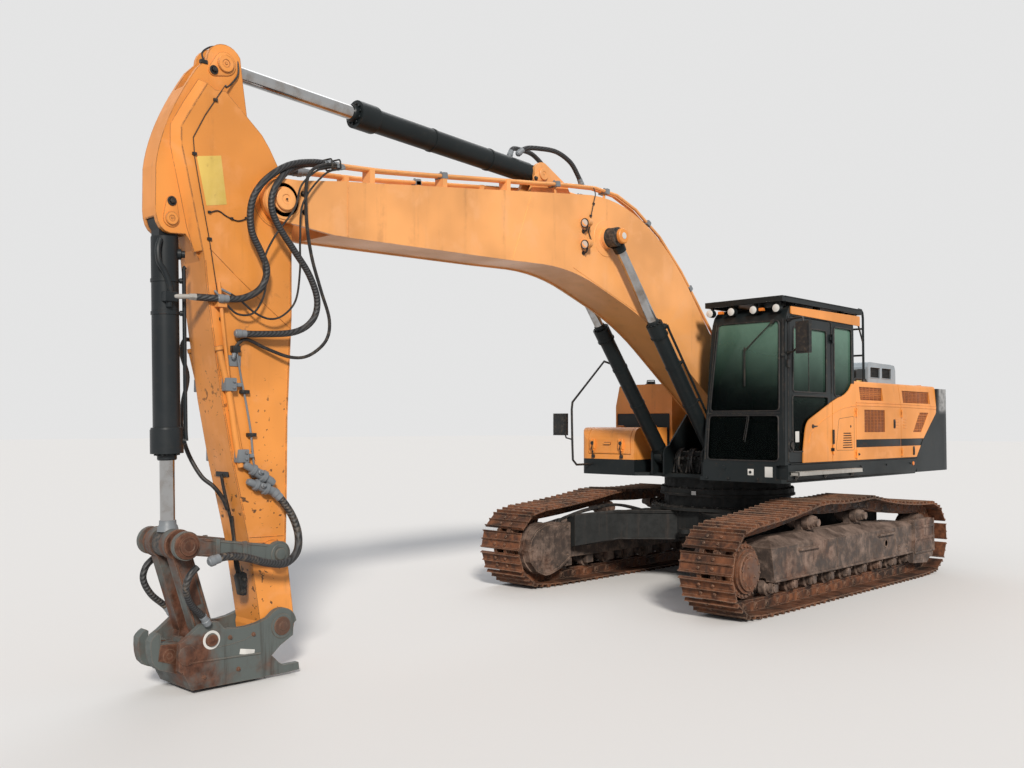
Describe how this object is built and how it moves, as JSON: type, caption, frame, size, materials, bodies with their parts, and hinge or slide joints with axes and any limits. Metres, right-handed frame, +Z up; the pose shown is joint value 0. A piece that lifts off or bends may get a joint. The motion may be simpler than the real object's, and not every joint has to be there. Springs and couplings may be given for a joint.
{
  "type": "crawler excavator",
  "caption": "Crawler excavator with swinging upper body, bent boom, arm with quick coupler, glazed cab and steel tracks, parked with the arm upright",
  "frame": {"origin": "on the ground, under the middle of the parked machine's length and width", "axes": "+X the way the machine faces, +Y its left side, +Z up"},
  "size_m": [11.1417, 3.49, 4.682],
  "materials": {
    "black_plastic": "matt",
    "cab_glass": "clear, lightly green",
    "charcoal_paint": "semi-gloss paint",
    "chrome_rod": "polished",
    "coupler_steel": "worn paint and rust",
    "grey_steel": "bare sheet",
    "muddy_frame": "dried mud over paint",
    "orange_paint": "gloss paint, a little dusty",
    "rusty_track": "rust and dry mud",
    "undercarriage_paint": "matt paint under dust",
    "weight_paint": "semi-gloss paint, worn"
  },
  "bodies": {
    "undercarriage": {"carbody": "undercarriage_paint", "swing_ring": "undercarriage_paint", "track_frame_left": "muddy_frame", "track_frame_right": "muddy_frame", "final_drive_left": "muddy_frame", "final_drive_right": "muddy_frame", "idler_left": "muddy_frame", "idler_right": "muddy_frame", "rollers_left": "muddy_frame", "rollers_right": "muddy_frame", "track_left": "rusty_track", "track_right": "rusty_track"},
    "upper": {"upper_frame": "charcoal_paint", "side_step": "grey_steel", "counterweight": "weight_paint", "engine": "charcoal_paint", "left_housing": "orange_paint", "right_housing": "orange_paint", "toolbox": "orange_paint", "cab_shell": "charcoal_paint", "roof_trim": "orange_paint", "cab_glass": "cab_glass", "cab_guard": "charcoal_paint", "cab_interior": "black_plastic", "mirrors": "black_plastic", "handrails": "charcoal_paint"},
    "toolbox_lid": {"toolbox_lid": "orange_paint"},
    "side_door_front": {"side_door_front": "orange_paint"},
    "side_door_rear": {"side_door_rear": "orange_paint"},
    "right_door": {"right_door": "orange_paint"},
    "hood": {"hood": "orange_paint", "hood_box": "grey_steel", "hood_duct": "charcoal_paint"},
    "cab_door": {"cab_door": "charcoal_paint", "door_panel": "orange_paint", "door_glass": "cab_glass"},
    "boom": {"boom": "orange_paint", "boom_pipes": "orange_paint"},
    "boom_rams": {"boom_ram_left": "charcoal_paint", "boom_ram_right": "charcoal_paint"},
    "boom_rods": {"boom_rod_left": "chrome_rod", "boom_rod_right": "chrome_rod"},
    "arm": {"arm": "orange_paint", "arm_pipes": "orange_paint"},
    "arm_ram": {"arm_ram": "charcoal_paint"},
    "arm_rod": {"arm_rod": "chrome_rod"},
    "coupler_ram": {"coupler_ram": "charcoal_paint"},
    "coupler_rod": {"coupler_rod": "chrome_rod"},
    "rocker": {"rocker": "coupler_steel"},
    "link": {"link": "coupler_steel"},
    "coupler": {"coupler": "coupler_steel"}
  },
  "joints": [
    {"name": "swing", "type": "hinge", "parent": "undercarriage", "child": "upper", "pos_m": [-1.93, -0.075, 1.25], "axis": [0, 0, 1], "continuous": true},
    {"name": "boom", "type": "hinge", "parent": "upper", "child": "boom", "pos_m": [-1.69, -0.075, 2.07], "axis": [0, -1, 0], "range_deg": [-58, 45]},
    {"name": "arm", "type": "hinge", "parent": "boom", "child": "arm", "pos_m": [4.635, -0.075, 3.567], "axis": [0, 1, 0], "range_deg": [-60, 45]},
    {"name": "coupler", "type": "hinge", "parent": "arm", "child": "coupler", "pos_m": [4.591, -0.075, 0.378], "axis": [0, 1, 0], "range_deg": [-30, 140]},
    {"name": "boom_ram_tilt", "type": "hinge", "parent": "upper", "child": "boom_rams", "pos_m": [-1.09, -0.075, 1.52], "axis": [0, -1, 0], "range_deg": [-60, 47]},
    {"name": "boom_rod_slide", "type": "slide", "parent": "boom_rams", "child": "boom_rods", "axis": [0.6301, 0, 0.7765], "range_m": [-0.72, 0.56]},
    {"name": "arm_ram_tilt", "type": "hinge", "parent": "boom", "child": "arm_ram", "pos_m": [1.556, -0.075, 4.352], "axis": [0, 1, 0], "range_deg": [-6.3, 5]},
    {"name": "arm_rod_slide", "type": "slide", "parent": "arm_ram", "child": "arm_rod", "axis": [0.9986, 0, 0.0529], "range_m": [-0.98, 0.74]},
    {"name": "coupler_ram_tilt", "type": "hinge", "parent": "arm", "child": "coupler_ram", "pos_m": [5.452, -0.075, 3.327], "axis": [0, 1, 0], "range_deg": [-2.4, 9]},
    {"name": "coupler_rod_slide", "type": "slide", "parent": "coupler_ram", "child": "coupler_rod", "axis": [-0.0293, 0, -0.9996], "range_m": [-0.21, 0.95]},
    {"name": "rocker", "type": "hinge", "parent": "arm", "child": "rocker", "pos_m": [4.645, -0.075, 0.92], "axis": [0, 1, 0], "range_deg": [-20, 92]},
    {"name": "link", "type": "hinge", "parent": "coupler", "child": "link", "pos_m": [5.165, -0.075, 0.359], "axis": [0, 1, 0], "range_deg": [-92, 20]},
    {"name": "cab_door", "type": "hinge", "parent": "upper", "child": "cab_door", "pos_m": [-1.728, 1.428, 2.2], "axis": [0, 0, 1], "range_deg": [0, 170]},
    {"name": "side_door_front", "type": "hinge", "parent": "upper", "child": "side_door_front", "pos_m": [-2.316, 1.428, 1.9], "axis": [0, 0, 1], "range_deg": [-95, 0]},
    {"name": "side_door_rear", "type": "hinge", "parent": "upper", "child": "side_door_rear", "pos_m": [-3.58, 1.428, 1.9], "axis": [0, 0, 1], "range_deg": [-95, 0]},
    {"name": "right_door", "type": "hinge", "parent": "upper", "child": "right_door", "pos_m": [-3.184, -1.578, 1.9], "axis": [0, 0, 1], "range_deg": [0, 100]},
    {"name": "hood", "type": "hinge", "parent": "upper", "child": "hood", "pos_m": [-4.686, -0.075, 2.413], "axis": [0, -1, 0], "range_deg": [0, 55]},
    {"name": "toolbox_lid", "type": "hinge", "parent": "upper", "child": "toolbox_lid", "pos_m": [-1.536, -1.145, 1.863], "axis": [0, -1, 0], "range_deg": [0, 75]}
  ],
  "couplings": [
    {"joint": "boom_ram_tilt", "follows": "boom", "ratio": 1.015},
    {"joint": "boom_rod_slide", "follows": "boom", "m_per_rad": 0.701},
    {"joint": "arm_ram_tilt", "follows": "arm", "ratio": 0.0975},
    {"joint": "arm_rod_slide", "follows": "arm", "m_per_rad": 0.925},
    {"joint": "coupler_ram_tilt", "follows": "coupler", "ratio": 0.055},
    {"joint": "coupler_rod_slide", "follows": "coupler", "m_per_rad": 0.375},
    {"joint": "rocker", "follows": "coupler", "ratio": 0.62},
    {"joint": "link", "follows": "coupler", "ratio": -0.58}
  ]
}
